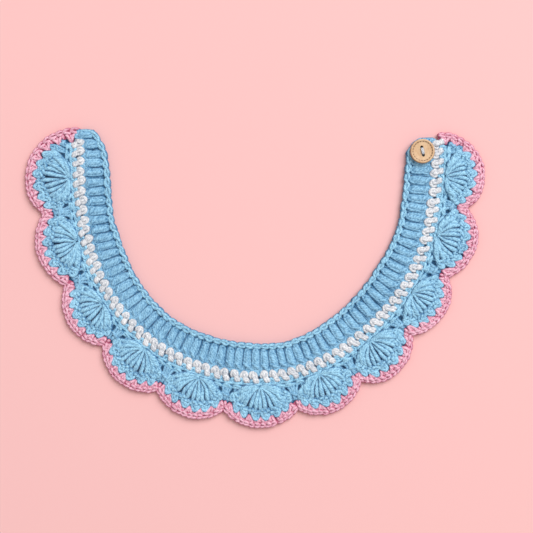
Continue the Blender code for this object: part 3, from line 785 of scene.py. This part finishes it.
def end_track(index, direction):
    """Runs from the flank of an end shell to the end of the rows."""
    def track(place):
        share = place / END_STITCHES
        return (on_collar(blend(*END_FEET[direction > 0], share), ANCHOR_FOOT),
                edging_sides(index, direction * blend(*END_HEADS, share))[0], Vector())
    return track


anchor_tracks = ([end_track(0, -1)] + [anchor_track(valley) for valley in VALLEYS]
                 + [end_track(len(SHELLS) - 1, 1)])
for index, track in enumerate(anchor_tracks):
    at_end = index in (0, len(VALLEYS) + 1)
    # The anchors are worked in the bars' blue cotton, with its painted shade.
    anchor = crochet(f"anchor_{index:02d}_yarn", track, END_CROCHET if at_end else ANCHOR_CROCHET,
                     END_STITCHES if at_end else 1, ANCHOR_THICKNESS, BAND_COTTON_IN_PAINTED_SHADE, seed=90 + index,
                     radius=1.1 * MM)
    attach(anchor, "root")
    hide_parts(f"anchor_{index:02d}")

# ---- pink edging
# Single crochets in pink cotton round all the scallops, from the left end to the right. Each is a
# V whose point goes down between two teeth of the shell, under a plait that makes the outer rim.
PINK_COTTON = cotton("pink cotton", pale=(1.0, 0.60, 0.73), deep=(0.54, 0.11, 0.21))
EDGING_THICKNESS = 3.7
EDGING_END_STITCHES = 3
EDGING_END_RUN = (math.radians(6.0), math.radians(8.0))

EdgeStitch = namedtuple("EdgeStitch", "shell start end")
EDGE_STITCHES = []
for index in range(len(SHELLS)):
    left, right = SIDES[index]
    crowns = [(2 * tooth + 1) / TEETH - 1.0 for tooth in range(TEETH)]
    stops = [swing * (left, right)[swing > 0].shell_angle for swing in crowns]
    before, start = (EDGING_END_STITCHES, EDGING_END_RUN[0]) if index == 0 else (1, 0.0)
    after, end = (EDGING_END_STITCHES, EDGING_END_RUN[1]) if index == len(SHELLS) - 1 else (1, 0.0)
    stops = ([blend(-left.inner_angle - start, stops[0], i / before) for i in range(before)] + stops
             + [blend(right.inner_angle + end, stops[-1], i / after) for i in reversed(range(after))])
    EDGE_STITCHES += [EdgeStitch(index, start, end) for start, end in zip(stops, stops[1:])]


def edge_place(place):
    """The shell and the angle at a place along the edging, counted in stitches."""
    number = min(max(int(place), 0), len(EDGE_STITCHES) - 1)
    stitch = EDGE_STITCHES[number]
    return stitch.shell, blend(stitch.start, stitch.end, place - number)


def edging_track(place):
    """Runs round all the scallops. Between two stitches it is at the crown of a tooth."""
    index, angle = edge_place(place)
    return *edging_sides(index, angle), Vector()


# One link of the plait. There are two of them to a stitch.
EDGE_PLAIT = (
    ((-0.08, 0.60, 1.6, 0.8), (0.08, 0.50, 2.6), (0.32, 0.58, 2.8), (0.52, 0.74, 1.8, 0.8)),
    ((-0.08, 0.80, 1.5, 0.8), (0.10, 0.92, 2.2, 0.9), (0.34, 0.88, 2.4, 0.9), (0.54, 0.74, 1.7, 0.8)),
)
EDGE_CROCHET = (
    *mirrored(((0.14, 0.44, 1.7), (0.25, 0.30, 2.6), (0.35, 0.07, 2.8), (0.42, -0.16, 2.5, 0.9),
               (0.48, -0.38, 1.8, 0.8))),
    ((0.50, 0.44, 1.6), (0.50, 0.25, 2.3), (0.50, -0.20, 2.2)),
    ((0.00, 0.44, 1.7), (0.00, 0.28, 2.4), (0.00, 0.08, 1.9, 0.9)),
    *([(step + shift, *rest) for step, *rest in strand] for shift in (0.0, 0.5) for strand in EDGE_PLAIT),
)
pink_edging = crochet("pink_edging_yarn", edging_track, EDGE_CROCHET, len(EDGE_STITCHES),
                      EDGING_THICKNESS, PINK_COTTON, seed=7, radius=1.1 * MM)
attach(pink_edging, "root")
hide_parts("pink_edging")

# ---- worked-up cloth
# Between and under the strands lies more of the same yarn, which closes the cloth. It is a thin
# sheet in the middle of the thickness, blue from the neck to the teeth and pink in the edging.
CLOTH_HALF = 0.45 * MM
CLOTH_FACES = (CLOTH_MIDDLE - CLOTH_HALF, CLOTH_MIDDLE + CLOTH_HALF)
CLOTH_INSET = 0.8 * MM
BAND_SPLITS = (0.0, 0.22, 0.56, 1.0)
EDGING_SPLITS = (0.02, 0.5, 0.86)
# It shows only through the small holes between the strands, where it lies in their shade; its dark
# blue is painted shade.
SHADED_BLUE = cotton("sky blue cotton in the cloth", pale=(0.05, 0.16, 0.30), deep=(0.02, 0.09, 0.19))
BUTTONHOLE_ROW = 2
CLOTH_END_ANGLE = math.radians(80.0)


def closed_sheet(name, columns, openings, material):
    """A thin closed sheet over columns of points. openings are the (column, row) cells left out."""
    rows = len(columns[0])
    cells = {(i, j) for i in range(len(columns) - 1) for j in range(rows - 1)} - openings

    def corner(level, i, j):
        return (level * len(columns) + i) * rows + j

    points = [(*point.to_2d(), height) for height in CLOTH_FACES for column in columns for point in column]
    faces = []
    for i, j in sorted(cells):
        ring = ((i, j), (i, j + 1), (i + 1, j + 1), (i + 1, j))
        faces.append([corner(1, *place) for place in ring])
        faces.append([corner(0, *place) for place in reversed(ring)])
        beside = ((i - 1, j), (i, j + 1), (i + 1, j), (i, j - 1))
        for start, end, neighbour in zip(ring, ring[1:] + ring[:1], beside):
            if neighbour not in cells:
                faces.append([corner(0, *start), corner(0, *end), corner(1, *end), corner(1, *start)])
    mesh = bpy.data.meshes.new(name)
    mesh.from_pydata(points, [], faces)
    mesh.materials.append(material)
    unwrapped = mesh.uv_layers.new(name="UVMap")
    for loop in mesh.loops:
        point = mesh.vertices[loop.vertex_index].co
        unwrapped.uv[loop.index].vector = (point.x / (2 * math.pi * YARN_RADIUS), point.y)
    return new_object(name, mesh)


def cloth_column(place):
    """Points from the neck to the teeth at a place along the edging."""
    index, angle = edge_place(place)
    left, right = SIDES[index]
    share = (angle + left.inner_angle) / (left.inner_angle + right.inner_angle)
    start = VALLEYS[index - 1].along if index > 0 else ROW_START + CLOTH_INSET
    end = VALLEYS[index].along if index < len(VALLEYS) else ROW_END - CLOTH_INSET
    along = blend(start, end, share)
    neck = neck_edge(along) + CLOTH_INSET
    band = neck_edge(along) + CHAIN_WIDTH
    outs = [neck] + [blend(band, BAND_OUTER, split) for split in BAND_SPLITS] + [WHITE_OUTER]
    return along, [on_collar(along, out) for out in outs] + [edging_sides(index, angle)[0]]


EDGE_PLACES = [i / STATIONS for i in range(len(EDGE_STITCHES) * STATIONS + 1)]
cloth_columns = [cloth_column(place) for place in EDGE_PLACES if abs(edge_place(place)[1]) < CLOTH_END_ANGLE]
opening = {(i, BUTTONHOLE_ROW) for i, (along, _) in enumerate(cloth_columns)
           if abs(along - BUTTONHOLE_PLACE[0]) < BUTTONHOLE_RADIUS}
cloth = closed_sheet("collar_cloth", [points for _, points in cloth_columns], opening, SHADED_BLUE)
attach(cloth, "root")

pink_columns = []
for place in EDGE_PLACES:
    low, far, _ = edging_track(place)
    pink_columns.append([low.lerp(far, split) for split in EDGING_SPLITS])
edging_cloth = closed_sheet("edging_cloth", pink_columns, set(), PINK_COTTON)
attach(edging_cloth, "root")

# ---- button
# A turned and sanded light wood button of 15 mm with a raised round rim, a shallow dish and two
# holes. A ring of short dashes is burnt in just inside the rim. It is sewn on, and stays still.
BUTTON_PLACE = (406.1 * MM, -10.2 * MM)
BUTTON_BASE = 4.0 * MM
BUTTON_RADIUS = 7.5 * MM
BUTTON_SEGMENTS = 96
BUTTON_HOLE_RADIUS = 0.95 * MM
BUTTON_HOLE_SPACING = 5.0 * MM
BUTTON_HOLE_TURN = math.radians(-78.0)
BUTTON_HOLE_SEGMENTS = 32
DRILL_LENGTH = 20.0 * MM
SHARP_EDGE = math.radians(40.0)
DASHES = 22
DASH_RING = 5.9 * MM
# The marks fade in from one distance to another: the burnt dashes and the scorch beside them are
# measured from their ring, and the darkening towards the outer edge from the middle.
DASH_WIDTHS = (0.32 * MM, 0.18 * MM)
SCORCH_WIDTHS = (0.9 * MM, 0.1 * MM)
EDGE_WIDTHS = (6.9 * MM, BUTTON_RADIUS)
# Radius and height over the base of the turned outline in millimetres, from the middle of the
# underside to that of the top.
BUTTON_OUTLINE = (
    (0.0, 0.0), (6.0, 0.0), (6.6, 0.1), (7.1, 0.45), (7.4, 1.0), (7.5, 1.6), (7.46, 2.2), (7.3, 2.65),
    (7.0, 2.92), (6.7, 3.0), (6.4, 2.94), (6.15, 2.78), (5.9, 2.6), (5.5, 2.52), (3.0, 2.5), (0.0, 2.5),
)

button_centre = on_collar(*BUTTON_PLACE)
button_mesh = bpy.data.meshes.new("button_wood")
shape = bmesh.new()
rings = []
for radius, height in BUTTON_OUTLINE:
    turns = [2 * math.pi * i / BUTTON_SEGMENTS for i in range(BUTTON_SEGMENTS if radius else 1)]
    level = button_centre + Vector((0.0, 0.0, BUTTON_BASE + height * MM))
    rings.append([shape.verts.new(level + radius * MM * Vector((math.cos(turn), math.sin(turn), 0.0)))
                  for turn in turns])
for lower, upper in zip(rings, rings[1:]):
    for i in range(BUTTON_SEGMENTS):
        corners = [lower[i % len(lower)], lower[(i + 1) % len(lower)],
                   upper[(i + 1) % len(upper)], upper[i % len(upper)]]
        shape.faces.new(list(dict.fromkeys(corners)))
bmesh.ops.recalc_face_normals(shape, faces=shape.faces)
shape.to_mesh(button_mesh)
shape.free()
button = new_object("button_wood", button_mesh)
hole_line = Vector((math.cos(BUTTON_HOLE_TURN), math.sin(BUTTON_HOLE_TURN), 0.0))
for side in (1, -1):
    place = button_centre + side * BUTTON_HOLE_SPACING / 2 * hole_line
    bpy.ops.mesh.primitive_cylinder_add(vertices=BUTTON_HOLE_SEGMENTS, radius=BUTTON_HOLE_RADIUS,
                                        depth=DRILL_LENGTH, location=place)
    drill = bpy.context.object
    cut = button.modifiers.new("hole", "BOOLEAN")
    cut.object = drill
    cut.operation = "DIFFERENCE"
    graph = bpy.context.evaluated_depsgraph_get()
    drilled = bpy.data.meshes.new_from_object(button.evaluated_get(graph), depsgraph=graph)
    button.modifiers.clear()
    button.data = drilled
    bpy.data.objects.remove(drill)
button.data.shade_smooth()
button.data.set_sharp_from_angle(angle=SHARP_EDGE)


def button_wood():
    """Pale wood with fine grain along one direction, darker on the burnt dashes and at the edge."""
    material = new_material("button wood", {"Coat Weight": 0.15, "Coat Roughness": 0.35})
    start = Wire(material.node_tree)
    node = start.node
    spot = node("ShaderNodeMapping", {"vector_type": "POINT"},
                {"Vector": node("ShaderNodeTexCoord", {}, {}, "Object"),
                 "Location": (-button_centre.x, -button_centre.y, -BUTTON_BASE)})
    x, y, _ = axes(spot)
    radius = start.math("SQRT", x * x + y * y)
    turn = start.math("ARCTAN2", y, x)
    from_ring = start.math("ABSOLUTE", radius - DASH_RING)
    grain = noise(start.vector("MULTIPLY", spot, (2600.0, 500.0, 800.0)), 1.0, 4.0)
    cloud = noise(spot, 250.0, 2.0)
    dash = (soft_step(from_ring, *DASH_WIDTHS)
            * start.math("GREATER_THAN", start.math("SINE", turn * DASHES), -0.1))
    # The wood turns darker towards its outer edge, and a little beside the burnt dashes.
    scorch_and_dark_edge = soft_step(radius, *EDGE_WIDTHS) * 0.8 + soft_step(from_ring, *SCORCH_WIDTHS) * 0.25
    wood = mix_colour(grain * 1.1 + cloud * 0.9 - 0.6, (0.56, 0.31, 0.14), (0.90, 0.67, 0.43))
    darkened_wood = mix_colour(scorch_and_dark_edge, wood, (0.27, 0.10, 0.03))
    colour = mix_colour(dash * 0.85, darkened_wood, (0.13, 0.05, 0.02))
    bump = node("ShaderNodeBump", {},
                {"Height": grain * 0.15 - dash, "Strength": 0.6, "Distance": 0.15 * MM})
    return finish_shader(material, colour, 0.6 - grain * 0.15, bump)


button.data.materials.clear()
button.data.materials.append(button_wood())
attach(button, "root")
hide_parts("button")

# ---- thread
# The white cotton that sews the button on: three strands side by side go up through one hole,
# across the dish and down through the other.
THREAD_RADIUS = 0.42 * MM
THREAD_SPREAD = 0.5 * MM
# Each stop is a share of the way from the button's middle to a hole, a share of the spread, and a
# height over the button's base in millimetres. The middle strand rides a little higher.
THREAD_STOPS = ((0.80, 0.5, 0.9), (0.76, 0.6, 2.1), (0.56, 0.9, 3.1), (0.0, 1.0, 3.1),
                (-0.56, 0.9, 3.1), (-0.76, 0.6, 2.1), (-0.80, 0.5, 0.9))
THREAD_RISE = 0.15

across = Vector((-hole_line.y, hole_line.x, 0.0))
thread_strands = []
for side in (-1, 0, 1):
    strand = []
    for share, spread, height in THREAD_STOPS:
        if side == 0 and share == 0.0:
            height += THREAD_RISE
        place = (button_centre + share * BUTTON_HOLE_SPACING / 2 * hole_line
                 + side * spread * THREAD_SPREAD * across + Vector((0.0, 0.0, BUTTON_BASE + height * MM)))
        strand.append((place, 1.0))
    thread_strands.append(strand)
thread = apply_tree(strands_object("button_thread_yarn", thread_strands), YARN_TREE,
                    {"Yarn radius": THREAD_RADIUS, "Smoothness": 4, "Material": WHITE_COTTON})
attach(thread, "root")
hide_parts("button_thread")

# ---- floor, light and camera
# A plain matt pale pink table, lit softly by a large round lamp at the upper right and a pale sky.
# The camera looks straight down, and a pixel of its picture is 0.612 mm on the collar.
TABLE_HALF = 2.0
TABLE_PINK = (0.93, 0.53, 0.52, 1.0)
LAMP_PLACE = Vector((1.3, 1.5, 2.2))
LAMP_SIZE = 2.4
LAMP_POWER = 76.0
SKY_COLOUR = (1.0, 0.98, 0.97, 1.0)
SKY_STRENGTH = 0.52
PIXEL = 0.612 * MM
CAMERA_HEIGHT = 0.55
COLLAR_TOP = 3.0 * MM
FRAME_PIXELS = 533
LOOK_AT = (7.0 * MM, 7.0 * MM)

floor_mesh = bpy.data.meshes.new("table")
table_corners = [(x * TABLE_HALF, y * TABLE_HALF, 0.0) for x, y in ((-1, -1), (1, -1), (1, 1), (-1, 1))]
floor_mesh.from_pydata(table_corners, [], [(0, 1, 2, 3)])
floor = new_object("table", floor_mesh)
floor_mesh.materials.append(new_material("pale pink table", {"Base Color": TABLE_PINK, "Roughness": 0.9}))

key = bpy.data.lights.new("key light", "AREA")
key.shape = "DISK"
key.size = LAMP_SIZE
key.energy = LAMP_POWER
key_object = new_object("key light", key)
key_object.location = LAMP_PLACE
key_object.rotation_euler = (-LAMP_PLACE).to_track_quat("-Z", "Y").to_euler()

bpy.context.scene.view_settings.view_transform = "Standard"
world = bpy.data.worlds.new("studio")
world.use_nodes = True
sky = world.node_tree.nodes["Background"].inputs
sky["Color"].default_value = SKY_COLOUR
sky["Strength"].default_value = SKY_STRENGTH
bpy.context.scene.world = world

camera = bpy.data.cameras.new("camera")
camera.sensor_width = 36.0
camera.lens = camera.sensor_width * (CAMERA_HEIGHT - COLLAR_TOP) / (FRAME_PIXELS * PIXEL)
camera.clip_start = 0.01
camera_object = new_object("camera", camera)
camera_object.location = (*LOOK_AT, CAMERA_HEIGHT)
bpy.context.scene.camera = camera_object
